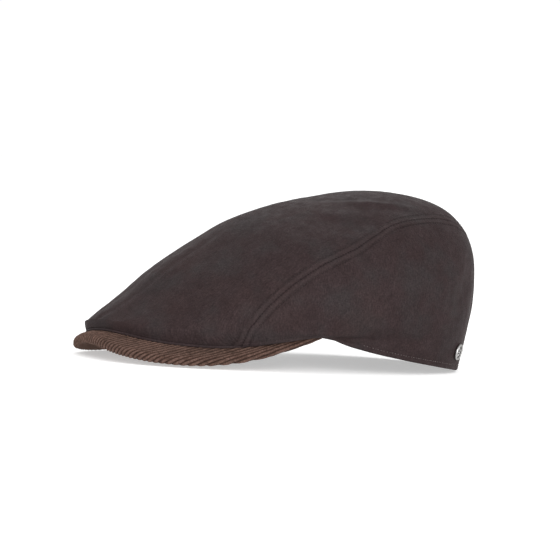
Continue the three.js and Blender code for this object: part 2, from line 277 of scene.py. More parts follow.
def grouped(tree, group, links):
    return node(tree, "ShaderNodeGroup", links, node_tree=group).outputs


def bumped(tree, shader, height, distance, strength=1.0):
    bump = node(tree, "ShaderNodeBump", [("Height", height), ("Distance", distance), ("Strength", strength)])
    tree.links.new(bump.outputs[0], shader.inputs["Normal"])


def cord_material():
    material, tree, shader = new_material(
        "brown_needlecord", Sheen_Weight=0.14, Sheen_Roughness=0.45,
        Sheen_Tint=(0.75, 0.52, 0.42, 1), Specular_IOR_Level=0.12)
    place = node(tree, "ShaderNodeTexCoord")
    rib_shade = node(tree, "ShaderNodeAttribute", attribute_name="rib").outputs["Fac"]
    worn = grouped(tree, mottle, [("Vector", place.outputs["Object"]), ("Patch", 25), ("Speck", 1500)])
    tufts = node(tree, "ShaderNodeTexNoise",
                 [("Vector", place.outputs["Object"]), ("Scale", 1100), ("Detail", 4), ("Roughness", 0.7)])
    # Colour from the rib profile: near-black in the grooves between ribs, which is painted shade, and
    # lightest on the ribs.
    rib = ramp(tree, rib_shade, (0.0, (0.009, 0.0044, 0.0033)), (0.4, (0.033, 0.0178, 0.0132)),
               (0.8, (0.075, 0.0425, 0.0325)), (1.0, (0.1, 0.059, 0.047)))
    patches = ramp(tree, worn["Patches"], (0.3, 0.55), (0.7, 1.0))
    patched = mixed(tree, worn["Blotches"], rib, patches, "MULTIPLY")
    fuzzy = mixed(tree, 0.8, patched, ramp(tree, tufts.outputs[0], (0.3, 0.25), (0.7, 1.75)), "MULTIPLY")
    tree.links.new(fuzzy, shader.inputs["Base Color"])
    tree.links.new(ramp(tree, worn["Specks"], (0.3, 0.8), (0.7, 1.0)), shader.inputs["Roughness"])
    bumped(tree, shader, tufts.outputs[0], 0.0006, 0.8)
    return material


def facing_material():
    material, tree, shader = new_material(
        "brown_twill", Sheen_Weight=0.03, Sheen_Roughness=0.5, Sheen_Tint=(0.8, 0.6, 0.5, 1),
        Specular_IOR_Level=0.1)
    place = node(tree, "ShaderNodeTexCoord")
    threads = grouped(tree, weave, [("Vector", place.outputs["UV"]), ("Threads", 1600)])
    worn = grouped(tree, mottle, [("Vector", place.outputs["Object"]), ("Patch", 20), ("Speck", 1200)])
    base = ramp(tree, worn["Patches"], (0.3, (0.075, 0.038, 0.026)), (0.7, (0.11, 0.06, 0.042)))
    flecked = mixed(tree, 0.5, base, ramp(tree, threads["Shade"], (0.3, 0.6), (0.7, 1.25)), "MULTIPLY")
    tree.links.new(flecked, shader.inputs["Base Color"])
    tree.links.new(ramp(tree, worn["Specks"], (0.3, 0.75), (0.7, 0.95)), shader.inputs["Roughness"])
    bumped(tree, shader, threads["Height"], 0.00025, 0.7)
    return material


def build_peak():
    half = PEAK_EDGE / 2
    rounds, flats, under_rows, inner_rows = 11, 66, 18, 3
    turns = np.radians(np.linspace(0, 90, rounds + 1))
    rim = half * (1 - np.cos(turns))
    # rows from the head opening out along the underside, round the edge and back over the top:
    # the distance from the edge as a length, then as a share of what is left, and the side
    lengths = np.concatenate([np.full(under_rows, half), rim[::-1], rim[1:], np.full(flats, half),
                              np.full(inner_rows, half)])
    shares = np.concatenate([np.linspace(1, 0, under_rows, endpoint=False), np.zeros(2 * rounds + 1),
                             np.linspace(0, 1, flats + 1)[1:], np.ones(inner_rows)])
    on_top = np.arange(len(lengths)) >= under_rows + rounds
    rows, columns = len(lengths) - 1, 460

    fine = np.linspace(-PEAK_END_SWEEP, PEAK_END_SWEEP, 6001)
    x, y = peak_outline(fine)
    walk = np.concatenate([[0], np.cumsum(np.hypot(np.diff(x) / 0.42, np.diff(y) / 1.6))])
    sweep = np.interp(np.linspace(0, walk[-1], columns + 1), walk, fine)
    x, y = peak_outline(sweep)
    reach = np.hypot(x / HEAD_HALF_WIDTH, (y - HEAD_CENTRE_Y) / HEAD_HALF_LENGTH)
    inward = np.stack([x / reach - x, (HEAD_CENTRE_Y + (y - HEAD_CENTRE_Y) / reach) - y], axis=-1)
    deep = np.linalg.norm(inward, axis=-1)
    inward /= deep[:, None]
    outward_x = np.gradient(y) / -np.hypot(np.gradient(x), np.gradient(y))

    inset = lengths[None, :] + (deep[:, None] - half) * shares[None, :]
    px = x[:, None] + inward[:, None, 0] * inset
    py = y[:, None] + inward[:, None, 1] * inset
    drop = half - np.minimum(inset, half)
    under = peak_under(px, py) + half - np.sqrt(half**2 - drop**2)
    over = peak_top_at(px, py, inset)
    pz = np.where(on_top[None, :], over, under)
    close = np.zeros(rows + 1)
    close[-inner_rows:] = np.linspace(0, 1, inner_rows + 1)[1:]
    pz = pz + (under - over) * np.where(on_top, close, 0)[None, :]
    place = np.stack([px, py, pz], axis=-1)

    # cloth coordinate across the ribs: along the bent board, and then round the edge
    round_edge = np.concatenate([np.full(under_rows, math.pi * half), half * (math.pi / 2 + turns[::-1]),
                                 half * (math.pi / 2 - turns[1:]), np.zeros(flats + inner_rows)])
    across = PEAK_ARCH * np.arcsin(px / PEAK_ARCH) - outward_x[:, None] * round_edge[None, :]
    across = across + 0.5 * ripple(place, 22) + 0.22 * ripple(place, 6, 3.1) + 0.12 * ripple(place, 2.6, 1.4)
    # The rib profile raises the ribs and also sets the cord's colour, so its dark grooves are painted shade.
    rib = np.abs(np.cos(math.pi * across / RIB_PITCH)) ** 0.8
    covered = np.ones(rows + 1)
    covered[:under_rows + 3] = 0
    covered[-inner_rows:] = 0
    worn = 1 + 0.25 * ripple(place, 9, 5.0) + 0.45 * ripple(place, 1.9, 8.0)
    rib = np.clip(rib * worn, 0, 1.3)
    lift = covered[None, :] * RIB_HEIGHT * (rib - 0.7)
    normal = grid_normals(place)
    normal *= np.sign(normal[columns // 2, -20, 2])
    seam, lip = [bell((np.arange(rows + 1) - under_rows - k) / 0.9)[None, :] for k in (3, 5)]
    place = place + normal * (lift - 0.5 * seam + 0.3 * lip)[..., None]
    # The lip of the edge seam takes the cord's lightest colour: a painted highlight along it.
    rib = np.maximum(rib, 1.1 * lip)

    bm = new_grid(columns, rows)
    at = flat_places(bm).astype(int)
    pick = lambda values: values[at[:, 0], at[:, 1]]
    cloth = np.stack([across, inset * np.where(on_top, 1, -1)[None, :] + 0 * px], axis=-1)
    move_to(bm, pick(place), pick(cloth), [("rib", pick(rib))])
    for face in bm.faces:
        row = min(int(at[v.index][1]) for v in face.verts)
        face.material_index = int(not under_rows + 3 <= row < rows - inner_rows)
    bmesh.ops.remove_doubles(bm, verts=bm.verts, dist=1e-7)
    bmesh.ops.holes_fill(bm, edges=[e for e in bm.edges if e.is_boundary], sides=0)
    bmesh.ops.recalc_face_normals(bm, faces=bm.faces)
    return new_piece("corduroy_peak", bm, [cord_material(), facing_material()], "corduroy", "peak")


build_peak()


# ---------------------------------------------------------------------------- the top panel
# One shaped piece of waxed cotton from the nose over the roof to the back of the head. Its long
# edges are seamed to the side panels, and its front edge is caught down on the peak.
WALL = 1.8
CENTRE_Y = 38
ROOF_HEIGHT, ROOF_SLOPE = 111.6, 0.193
SIDE_CURVE = 1.7
RIDGE_HEIGHT, RIDGE_WIDTH = 1.6, 7
WELT_HEIGHT = 1.7
NOSE_LEAN, NOSE_LEAN_WIDTH = 4, 40  # degrees that the nose is turned to the wearer's right
HEM_RISE, HEM_RISE_BEARING, HEM_RISE_WIDTH = 5.5, 120, 24  # higher hem behind the right temple
REACH, HEIGHT, BELLY, BELLY_HEIGHT, FULLNESS = 1, 2, 3, 4, 5
CROWN_ROWS = np.array([
    # bearing, reach and height of the lower edge, belly, belly's height, fullness above it
    [0, 163, 16, 164.2, 21.6, 1.12],
    [15, 152.8, 11.5, 155, 19.6, 1.18],
    [30, 130.6, 9.2, 134.6, 22, 1.38],
    [40, 115.6, 13.6, 122.6, 26, 1.62],
    [52, 105, 18.4, 112, 31, 1.8],
    [62, 95.2, 20.4, 101, 36, 1.93],
    [76, 85.8, 15.5, 92.6, 42, 2.02],
    [90, 83.5, 11.1, 91, 47, 2.1],
    [120, 88, 4.4, 96.5, 56, 2.6],
    [150, 90.5, 0, 98.8, 57, 3.4],
    [180, 87, 0, 95, 57, 3.5],
])
SEAM_START = 35.6
SEAM_ROWS = np.array([
    # bearing, share of the profile under the seam
    [SEAM_START, 0], [38, 0.045], [40, 0.115], [44, 0.215], [52, 0.325], [64, 0.42], [84, 0.57],
    [99, 0.64], [118, 0.65], [136, 0.605], [150, 0.545], [180, 0.5],
])
FOLD_ROWS = [
    # bearing, share, half length, half width, degrees turned up from level, depth (less than 0 stands out)
    (0, 0.37, 60, 26, 0, 1.6),
    (0, 0.745, 70, 25, 0, -2.2),
    (80, 0.065, 32, 5, 0, 2.6),
    (84, 0.14, 36, 9, 0, -1.6),
    (74, 0.66, 28, 13, 18, 1.8),
    (83, 0.45, 14, 4, -52, 1.2),
    (128, 0.3, 26, 10, 60, 1.5),
]
STITCH_PITCH = 2.1
SEAM_BAND = 3.9  # from the seam to each row of topstitching
HEM_ROW = 3.6  # from the lower edge to the hem's stitches


def along_rows(rows, column, bearing):
    """Value of a column at bearings, by a smooth curve through its rows"""
    at, value = rows[:, 0], rows[:, column]
    b = np.clip(np.abs(bearing), at[0], at[-1])
    i = np.clip(np.searchsorted(at, b, side="right") - 1, 0, len(at) - 2)
    slope = np.zeros(len(at))
    slope[1:-1] = (value[2:] - value[:-2]) / (at[2:] - at[:-2])
    span = at[i + 1] - at[i]
    s = (b - at[i]) / span
    bend = span * s * (1 - s) * ((1 - s) * slope[i] - s * slope[i + 1])
    return value[i] + (value[i + 1] - value[i]) * ease(s) + bend


def crown_value(column, bearing):
    """Value of the crown's table, with the nose's lean and the right side's higher hem"""
    value = along_rows(CROWN_ROWS, column, bearing + NOSE_LEAN * bell(bearing / NOSE_LEAN_WIDTH))
    if column == HEIGHT:
        value = value + HEM_RISE * bell((bearing + HEM_RISE_BEARING) / HEM_RISE_WIDTH)
    return value


def seam_share(bearing):
    return np.where(np.abs(bearing) > SEAM_START, np.maximum(along_rows(SEAM_ROWS, 1, bearing), 0), 0)


def smooth_point(bearing, share):
    """The crown without folds, at bearings and shares of the way up to its middle"""
    reach, height, belly, belly_height, fullness = [
        crown_value(c, bearing) for c in (REACH, HEIGHT, BELLY, BELLY_HEIGHT, FULLNESS)]
    under = (belly_height - height) / (belly_height - height + belly)
    s = np.clip(share / under, 0, 1)
    turn = math.pi / 2 * np.clip((share - under) / (1 - under), 0, 1)
    below = share < under
    a = np.radians(bearing)
    out = np.where(below, reach + (belly - reach) * (1 - (1 - s) ** SIDE_CURVE), belly * np.cos(turn))
    rise = (ROOF_HEIGHT - belly_height) * np.sin(turn) ** (2 / fullness)
    slope = ROOF_SLOPE * np.cos(a) * out * np.sin(turn) ** 2
    up = np.where(below, height + (belly_height - height) * s, belly_height + rise - slope)
    return np.stack([out * np.sin(a), CENTRE_Y - out * np.cos(a), up], axis=-1)


def unit(vectors):
    return vectors / np.maximum(np.linalg.norm(vectors, axis=-1, keepdims=True), 1e-9)


def surface_normal(surface, bearing, share):
    low = np.clip(share - 0.012, 0, 0.97)
    around = surface(bearing + 0.3, np.minimum(share, 0.99)) - surface(bearing - 0.3, np.minimum(share, 0.99))
    return unit(np.cross(around, surface(bearing, low + 0.024) - surface(bearing, low)))


def placed_folds(rows, sides):
    """The middle and axes of each fold, on the sides that it is on"""
    folds = []
    for bearing, share, length, width, turn, depth in rows:
        for side in sides:
            b, t = np.array([side * bearing]), np.array([share])
            middle, normal = smooth_point(b, t)[0], surface_normal(smooth_point, b, t)[0]
            level = unit(np.array([-normal[1], normal[0], 0]))
            rise = np.cross(normal, level)
            a = side * math.radians(turn)
            along = level * math.cos(a) + rise * math.sin(a)
            across = rise * math.cos(a) - level * math.sin(a)
            folds.append((middle, normal, along, across, length, width, depth))
    return folds


def fold_push(folds, place):
    push = np.zeros(place.shape[:-1])
    for middle, normal, along, across, length, width, depth in folds:
        d = place - middle
        push -= depth * bell(d @ along / length) * bell(d @ across / width) * bell(d @ normal / 40)
    return push


MAIN_FOLDS = placed_folds(FOLD_ROWS, (1, -1))


def freed(bearing, share):
    """0 where the nose is held flat by its lower seam, 1 away from it"""
    return 1 - (1 - ease((np.abs(bearing) - 34) / 7)) * (1 - ease((share - 0.02) / 0.08))


def crown_point(bearing, share):
    """The crown's outer face, with its main folds and the pressed ridge down the nose"""
    place = smooth_point(bearing, share)
    nose = RIDGE_HEIGHT * bell(place[..., 0] / RIDGE_WIDTH) * bell((share - 0.25) / 0.3)
    push = np.where(np.abs(bearing) < 60, nose, 0) + fold_push(MAIN_FOLDS, place)
    push = np.where(share > 0.97, 0, push) * freed(bearing, share)
    return place + surface_normal(smooth_point, bearing, share) * push[..., None]


def seated(bearing, share):
    """The crown with its lower edge set down on the welt in front, and clear of the peak and floor"""
    edge, place = crown_point(bearing, 0 * share), crown_point(bearing, share)
    x, y, z = np.moveaxis(edge, -1, 0)
    beside = ease((y + 45) / 14)
    clear = 0.35 + (WELT_HEIGHT + 0.1) * (1 - ease((np.abs(bearing) - 33) / 5))
    floor = (peak_top(x, y) + clear) * (1 - beside) * (peak_share(x, y) < 1)
    sewn = 1 - ease((np.abs(bearing) - 34) / 7)
    lift = sewn * (floor - z) + (1 - sewn) * np.maximum(floor - z, 0)
    rise = np.linalg.norm(place - edge, axis=-1)
    place[..., 2] += lift * bell(rise / 14)
    return place


def sewn_line(bearing, share):
    """A line on the crown as a search tree, with the length along it at each of its points"""
    points = seated(bearing, share)
    run = np.concatenate([[0], np.cumsum(np.linalg.norm(np.diff(points, axis=0), axis=1))])
    tree = kdtree.KDTree(len(points))
    for i, p in enumerate(points):
        tree.insert(p, i)
    tree.balance()
    return tree, run


def along_line(line, place):
    """Distance from a line, and the length along it, of each place"""
    tree, run = line
    found = [tree.find(p)[1:] for p in place]
    index, distance = np.array([f[0] for f in found], int), np.array([f[1] for f in found])
    return distance, run[index]


LINE = np.linspace(SEAM_START, 180, 2600)
SEAMS = [sewn_line(side * LINE, seam_share(LINE)) for side in (1, -1)]
BACK_LINE = np.linspace(0, 1, 600)
BACK_SEAM = sewn_line(180 + 0 * BACK_LINE, seam_share(np.array(180.0)) * BACK_LINE)
HEMS = [sewn_line(side * LINE, 0 * LINE) for side in (1, -1)]


def seam_relief(d, run, on_side):
    """Height over the cloth beside a seam that is pressed open and topstitched along both sides"""
    hole = 0.5 + 0.5 * np.cos(2 * math.pi * run / STITCH_PITCH)
    turned = 0.25 + 0.35 * hole
    drop = turned - np.sqrt(np.maximum(turned**2 - np.maximum(turned - d, 0) ** 2, 0))
    band = 0.22 * (1 - ease((d - SEAM_BAND + 0.4) / 1.3))
    row = (0.12 + 0.12 * on_side) * bell((d - SEAM_BAND - 0.3) / 0.7) * (0.5 + 0.5 * hole)
    pucker = 0.1 * bell((d - 5.8) / 1.5) * (1 - 0.4 * hole) + 0.1 * (hole - 0.5) * bell((d - 2.0) / 1.2)
    return band - row + pucker - drop


def seam_marks(d, run):
    """Masks of the painted highlight on the raised band along a seam, and of painted shade in its joint,
    stitch holes and sunken rows
    """
    hole = (0.5 + 0.5 * np.cos(2 * math.pi * run / STITCH_PITCH)) ** 2
    uneven = 0.75 + 0.25 * np.sin(run / 6 + 2 * np.sin(run / 17))
    # Painted highlight on the raised band beside the seam.
    painted_ridge_highlight = bell((d - 2.1) / 1.3)
    # Painted shade: dark along the seam's joint, at its stitch holes and along the sunken rows of stitching.
    joint_shade = bell(d / 0.6) * (0.1 + 0.9 * hole)
    rows = uneven * bell((d - SEAM_BAND - 0.3) / 0.9) * (0.25 + 0.3 * hole)
    return [("seam", painted_ridge_highlight), ("painted_seam_shade", np.minimum(joint_shade + rows, 1))]


def hem_relief(d, run):
    """The folded hem stands out a little under its row of stitches"""
    hole = 0.5 + 0.5 * np.cos(2 * math.pi * run / STITCH_PITCH)
    return 0.2 * bell((d - 1.9) / 1.1) - 0.22 * bell((d - HEM_ROW) / 0.6) * (0.6 + 0.4 * hole)


CREASE_ROWS = [
    # bearing, share, half length, half width, degrees turned up from level, depth
    (66, 0.68, 11, 4, -8, 0.6),
    (70, 0.72, 15, 4, 4, -0.5),
    (100, 0.81, 30, 4, 6, -0.9),
    (104, 0.75, 26, 5, 4, 0.5),
    (76, 0.5, 10, 5, -40, 0.9),
    (88, 0.44, 12, 4.5, -60, -0.6),
    (60, 0.1, 16, 4, 4, 0.8),
    (56, 0.2, 18, 6, 30, -0.6),
    (112, 0.2, 20, 5, 35, 0.8),
    (122, 0.12, 15, 4, 20, -0.6),
    (146, 0.35, 22, 6, 80, 0.8),
    (152, 0.3, 20, 5, 86, -0.6),
    (67, 0.014, 17, 1.5, 0, 1.7),
    (66, 0.042, 24, 1.8, 0, -1.5),
    (0, 0.72, 50, 13, 0, 0.8),
    (0, 0.875, 50, 15, 0, -2.0),
    (150, 0.65, 40, 20, 0, -1.4),
    (30, 0.08, 18, 5, 35, 0.7),
    (26, 0.16, 24, 7, 50, -0.5),
]
FAR_CREASE_ROWS = [  # the same for the wearer's right
    (9, 0.36, 40, 5, 80, 0.6),
    (22, 0.5, 45, 24, 0, -1.6),
    (62, 0.64, 14, 5, 10, 0.9),
    (95, 0.8, 26, 5, -6, -1.1),
    (82, 0.46, 14, 5, -45, 0.9),
    (118, 0.25, 20, 6, 50, 0.9),
    (150, 0.32, 20, 6, 75, 0.8),
    (58, 0.12, 16, 4, 2, 0.8),
]
CREASES = placed_folds(CREASE_ROWS, (1,)) + placed_folds(FAR_CREASE_ROWS, (-1,))


def nose_crease(bearing, share, place):
    """The nose is pressed to a soft ridge, with a sharp crease along its left side"""
    x = place[..., 0]
    along = ease((share - 0.03) / 0.06) * (1 - ease((share - 0.56) / 0.2)) * (np.abs(bearing) < 75)
    return along * (0.5 * bell((x + 9) / 6) - 0.8 * bell((x - 1) / 3.2) + 0.3 * bell((x - 8) / 5))


def dressed(bearing, share, place):
    """Adds creases, wrinkles, seams and the hem to places on the crown's outer face"""
    normal = surface_normal(seated, bearing, share)
    push = fold_push(CREASES, place) + nose_crease(bearing, share, place)
    push += 0.55 * ripple(place * (1, 1, 0.7), 34, 2.0)
    push += 0.3 * ripple(place, 14, 7.7) + 0.1 * ripple(place, 5, 4.1)
    push *= freed(bearing, share)
    d, run = np.full(len(place), 99.0), np.zeros(len(place))
    for line, on in ((SEAMS[0], bearing >= 0), (SEAMS[1], bearing <= 0),
                     (BACK_SEAM, (np.abs(bearing) > 150) & (share < seam_share(bearing) + 0.02))):
        found = np.where(on)[0]
        near, length = along_line(line, place[found])
        closer = near < d[found]
        d[found[closer]], run[found[closer]] = near[closer], length[closer]
    on_side = (share < seam_share(bearing) - 1e-6) & (np.abs(bearing) > SEAM_START)
    push += seam_relief(d, run, on_side)
    hem, length = np.full(len(place), 99.0), np.zeros(len(place))
    for line, on in ((HEMS[0], bearing > SEAM_START), (HEMS[1], bearing < -SEAM_START)):
        found = np.where(on & on_side & (share < 0.25))[0]
        if len(found):
            hem[found], length[found] = along_line(line, place[found])
    push += hem_relief(hem, length)
    return place + normal * push[:, None], d, run


def waxed_material():
    material, tree, shader = new_material(
        "brown_waxed_cotton", Sheen_Weight=0.02, Sheen_Roughness=0.35,
        Sheen_Tint=(0.9, 0.7, 0.7, 1), Specular_IOR_Level=0.04)
    place = node(tree, "ShaderNodeTexCoord")
    worn = grouped(tree, mottle, [("Vector", place.outputs["Object"]), ("Patch", 22), ("Speck", 950)])
    tint = grouped(tree, mottle, [("Vector", place.outputs["Object"]), ("Patch", 37), ("Speck", 420)])
    threads = grouped(tree, weave, [("Vector", place.outputs["UV"]), ("Threads", 2200)])
    seam = node(tree, "ShaderNodeAttribute", attribute_name="seam").outputs["Fac"]
    base = ramp(tree, worn["Blotches"], (0.3, (0.023, 0.015, 0.0153)), (0.7, (0.0298, 0.0202, 0.0208)))
    greyed, reddened = (0.0262, 0.0228, 0.0232, 1), (0.0335, 0.0195, 0.0185, 1)
    base = mixed(tree, ramp(tree, tint["Patches"], (0.48, 0.0), (0.66, 0.6)), base, greyed)
    base = mixed(tree, ramp(tree, worn["Patches"], (0.52, 0.0), (0.75, 0.4)), base, reddened)
    grain = mixed(tree, 0.8, base, ramp(tree, worn["Specks"], (0.3, 0.62), (0.7, 1.4)), "MULTIPLY")
    grain = mixed(tree, 0.45, grain, ramp(tree, threads["Shade"], (0.3, 0.6), (0.7, 1.4)), "MULTIPLY")
    # Lighter on the raised seam bands, the hem's fold and the welt: a painted highlight on these ridges.
    painted_ridge_highlight = mixed(tree, ramp(tree, seam, (0.0, 0.0), (1.0, 0.1)), grain, (0.072, 0.054, 0.053, 1))
    # Near-black at the seam's joint, stitch holes and sunken rows of stitching: painted shade.
    painted_seam_shade = node(tree, "ShaderNodeAttribute", attribute_name="painted_seam_shade").outputs["Fac"]
    seam_shaded = mixed(tree, ramp(tree, painted_seam_shade, (0.0, 0.0), (1.0, 0.8)), painted_ridge_highlight, (0.006, 0.004, 0.004, 1))
    tree.links.new(seam_shaded, shader.inputs["Base Color"])
    tree.links.new(ramp(tree, tint["Blotches"], (0.3, 0.5), (0.7, 0.72)), shader.inputs["Roughness"])
    height = maths(tree, "ADD", maths(tree, "MULTIPLY", threads["Height"], 0.35),
                   maths(tree, "MULTIPLY", worn["Specks"], 0.9))
    bumped(tree, shader, height, 0.0004, 0.55)
    return material


def reverse_material():
    material, tree, shader = new_material(
        "cotton_reverse", Sheen_Weight=0.15, Sheen_Tint=(0.9, 0.85, 0.8, 1), Specular_IOR_Level=0.2)
    place = node(tree, "ShaderNodeTexCoord")
    threads = grouped(tree, weave, [("Vector", place.outputs["UV"]), ("Threads", 1500)])
    worn = grouped(tree, mottle, [("Vector", place.outputs["Object"]), ("Patch", 18), ("Speck", 800)])
    base = ramp(tree, worn["Patches"], (0.3, (0.052, 0.042, 0.039)), (0.7, (0.078, 0.064, 0.058)))
    flecked = mixed(tree, 0.6, base, ramp(tree, threads["Shade"], (0.3, 0.6), (0.7, 1.3)), "MULTIPLY")
    tree.links.new(flecked, shader.inputs["Base Color"])
    tree.links.new(ramp(tree, worn["Specks"], (0.3, 0.8), (0.7, 0.98)), shader.inputs["Roughness"])
    bumped(tree, shader, threads["Height"], 0.0003, 0.6)
    return material


WAXED, REVERSE = waxed_material(), reverse_material()
EDGE_ROWS = [0, 0.12, 0.3, 0.55, 0.85, 1.2, 1.6, 2.05, 2.5, 2.9, 3.25, 3.55, 3.85, 4.15, 4.45, 4.8, 5.25,
             5.8, 6.5, 7.4, 8.5]


def stepped(bearing, start, stop, distances, slanted=False):
    """How far the share moves from start towards stop to cover distances over the cloth"""
    share = start[:, None] + (stop - start)[:, None] * np.linspace(0, 1, 90) ** 2
    place = seated(bearing[:, None] + 0 * share, share)
    gap = place - place[:, :1]
    length = np.linalg.norm(gap, axis=-1)
    if slanted:
        ahead, behind = bearing + 1, bearing - 1
        tangent = unit(seated(ahead, seam_share(ahead)) - seated(behind, seam_share(behind)))[:, None, :]
        straight = np.linalg.norm(gap - tangent * np.sum(gap * tangent, axis=-1, keepdims=True), axis=-1)
        length = np.maximum(straight, 0.6 * length)
    length = np.maximum.accumulate(length, axis=1)
    wanted = np.broadcast_to(distances, (len(bearing), np.shape(distances)[-1]))
    return np.abs(np.array([np.interp(*row) for row in zip(wanted, length, share)]) - start[:, None])


STEP_BEARINGS = np.concatenate([np.arange(0, 34, 0.5), np.arange(34, 46, 0.1), np.arange(46, 180.5, 0.5)])
STEP_SEAM = seam_share(STEP_BEARINGS)
ABOVE_SEAM = stepped(STEP_BEARINGS, STEP_SEAM, 0 * STEP_SEAM + 0.9, EDGE_ROWS, True)


def looked_up(table, bearing, row):
    """Value at whole rows of a table that has a line for each step bearing"""
    b = np.abs(bearing)
    i = np.clip(np.searchsorted(STEP_BEARINGS, b) - 1, 0, len(STEP_BEARINGS) - 2)
    part = np.clip((b - STEP_BEARINGS[i]) / (STEP_BEARINGS[i + 1] - STEP_BEARINGS[i]), 0, 1)
    row = np.clip(np.round(row).astype(int), 0, table.shape[1] - 1)
    return table[i, row] * (1 - part) + table[i + 1, row] * part


def top_places(bm, rings):
    """Bearings and shares of a square grid laid on the top panel as rings round its middle"""
    x, y = (flat_places(bm) / rings - 1).T
    ring = np.maximum(np.abs(x), np.abs(y))
    far = np.maximum(ring, 1e-9)
    front, side = -y >= np.abs(x) - 1e-9, np.abs(x) > np.abs(y) + 1e-9
    turn = np.where(front, np.abs(x) / far / 4, np.where(side, 0.5 + y / far / 4, 1 - np.abs(x) / far / 4))
    b = np.linspace(0, 180, 4000)
    edge = seated(b, seam_share(b))
    step = np.linalg.norm(np.diff(edge, axis=0), axis=1) * np.where(b[1:] < SEAM_START, 0.6, 1)
    step += 0.6 * np.diff(b)
    walk = np.concatenate([[0], np.cumsum(step)])
    bearing = np.interp(turn, walk / walk[-1], b) * np.where(x < 0, -1, 1)
    start = seam_share(bearing)
    row = rings * (1 - ring)
    near = len(EDGE_ROWS) - 1
    inset = start + looked_up(ABOVE_SEAM, bearing, row)
    share = np.where(row <= near, inset, inset + (1 - inset) * (row - near) / (rings - near))
    return bearing, share


def inner_face(bearing, share, deep):
    place = seated(bearing, share)
    normal = surface_normal(seated, bearing, share)
    return place - normal * deep


def joined_shell(outer, inner):
    """Two skins bridged round their edges into one closed wall, the inner one in the second material"""
    for face in inner.faces:
        face.material_index = 1
    mesh = bpy.data.meshes.new("inner_skin")
    inner.to_mesh(mesh)
    inner.free()
    outer.from_mesh(mesh)
    bpy.data.meshes.remove(mesh)
    bmesh.ops.bridge_loops(outer, edges=[e for e in outer.edges if e.is_boundary])
    for face in outer.faces:
        face.smooth = True
    bmesh.ops.recalc_face_normals(outer, faces=outer.faces)
    return outer


def build_top_panel():
    rings = 100
    bm = new_grid(2 * rings, 2 * rings)
    ring_of = {v: max(abs(v.co.x - rings), abs(v.co.y - rings)) for v in bm.verts}
    near = rings - len(EDGE_ROWS) + 0.5
    bmesh.ops.subdivide_edges(bm, cuts=1, edges=[
        e for e in bm.edges
        if ring_of[e.verts[0]] == ring_of[e.verts[1]] > near])
    bearing, share = top_places(bm, rings)
    flat = seated(bearing, share)
    place, seam, run = dressed(bearing, share, flat)
    move_to(bm, place, flat[:, :2], seam_marks(seam, run))
    inner = new_grid(64, 64)
    bearing, share = top_places(inner, 32)
    row = np.maximum(np.abs(flat_places(inner)[:, 0] - 32), np.abs(flat_places(inner)[:, 1] - 32))
    start = seam_share(bearing)
    share = start + (1 - start) * (1 - row / 32)
    below = inner_face(bearing, share, WALL)
    move_to(inner, below, below[:, :2], [("seam", 0 * row), ("painted_seam_shade", 0 * row)])
    new_piece("crown_top_panel", joined_shell(bm, inner), [WAXED, REVERSE], "waxed_cotton", "top_panel")


build_top_panel()


# ---------------------------------------------------------------------------- the side panels
# Two pieces of the same waxed cotton that run from the temples to the centre back, where they
# are seamed together. Their lower edge is folded up inside and stitched down as the hem.
HEM_TURN, HEM_FOLD = 10, 0.9
LOW_ROWS = [1.35, 1.7, 2.1, 2.5, 2.9, 3.25, 3.6, 3.95, 4.3, 4.7, 5.3, 6.2, 7.3, 8.5]
MIDDLE_ROWS = 36


def hem_rows():
    """Height over the lower edge and distance inwards of the turned-up cloth and its fold"""
    half = (WALL + HEM_FOLD) / 2
    turned = [(HEM_TURN, 2 * half), (6, 2 * half), (2.6, 2 * half)]
    return turned + [(half * (1 - math.cos(a)), half * (1 - math.sin(a)))
                     for a in np.radians([-90, -60, -30, 0, 30, 60])]


def side_bearings(share_across):
    b = np.linspace(SEAM_START, 179.9, 4000)
    seam, hem = [np.linalg.norm(np.diff(seated(b, t), axis=0), axis=1) for t in (seam_share(b), 0 * b)]
    step = (0.6 * seam + 0.4 * hem) * np.where(b[1:] > 175.5, 2.2, 1)
    walk = np.concatenate([[0], np.cumsum(step)])
    return np.interp(share_across, walk / walk[-1], b)


def smallness(bearing):
    """How much narrower the rows of a side panel are, where it tapers to its front end"""
    tall = np.linalg.norm(seated(bearing, seam_share(bearing)) - seated(bearing, 0 * bearing), axis=-1)
    return np.minimum(tall / 24, 1)


STEP_SMALL = smallness(STEP_BEARINGS)[:, None]
OVER_HEM = stepped(STEP_BEARINGS, 0 * STEP_SEAM, STEP_SEAM, STEP_SMALL * [LOW_ROWS])
UNDER_SEAM = stepped(STEP_BEARINGS, STEP_SEAM, 0 * STEP_SEAM, STEP_SMALL * [EDGE_ROWS], True)


def outer_share(bearing, row):
    """Share at a row over the hem's fold: close rows at the hem and the seam, even ones between"""
    top, ends, edges = seam_share(bearing), len(LOW_ROWS) - 1, len(EDGE_ROWS) - 1
    last = ends + MIDDLE_ROWS + edges
    lower = looked_up(OVER_HEM, bearing, row)
    upper = top - looked_up(UNDER_SEAM, bearing, last - row)
    start = looked_up(OVER_HEM, bearing, 0 * row + ends)
    stop = top - looked_up(UNDER_SEAM, bearing, 0 * row + edges)
    between = start + (stop - start) * (row - ends) / MIDDLE_ROWS
    share = np.where(row <= ends, lower, np.where(row < ends + MIDDLE_ROWS, between, upper))
    return np.clip(share, 0, np.maximum(top, 0))


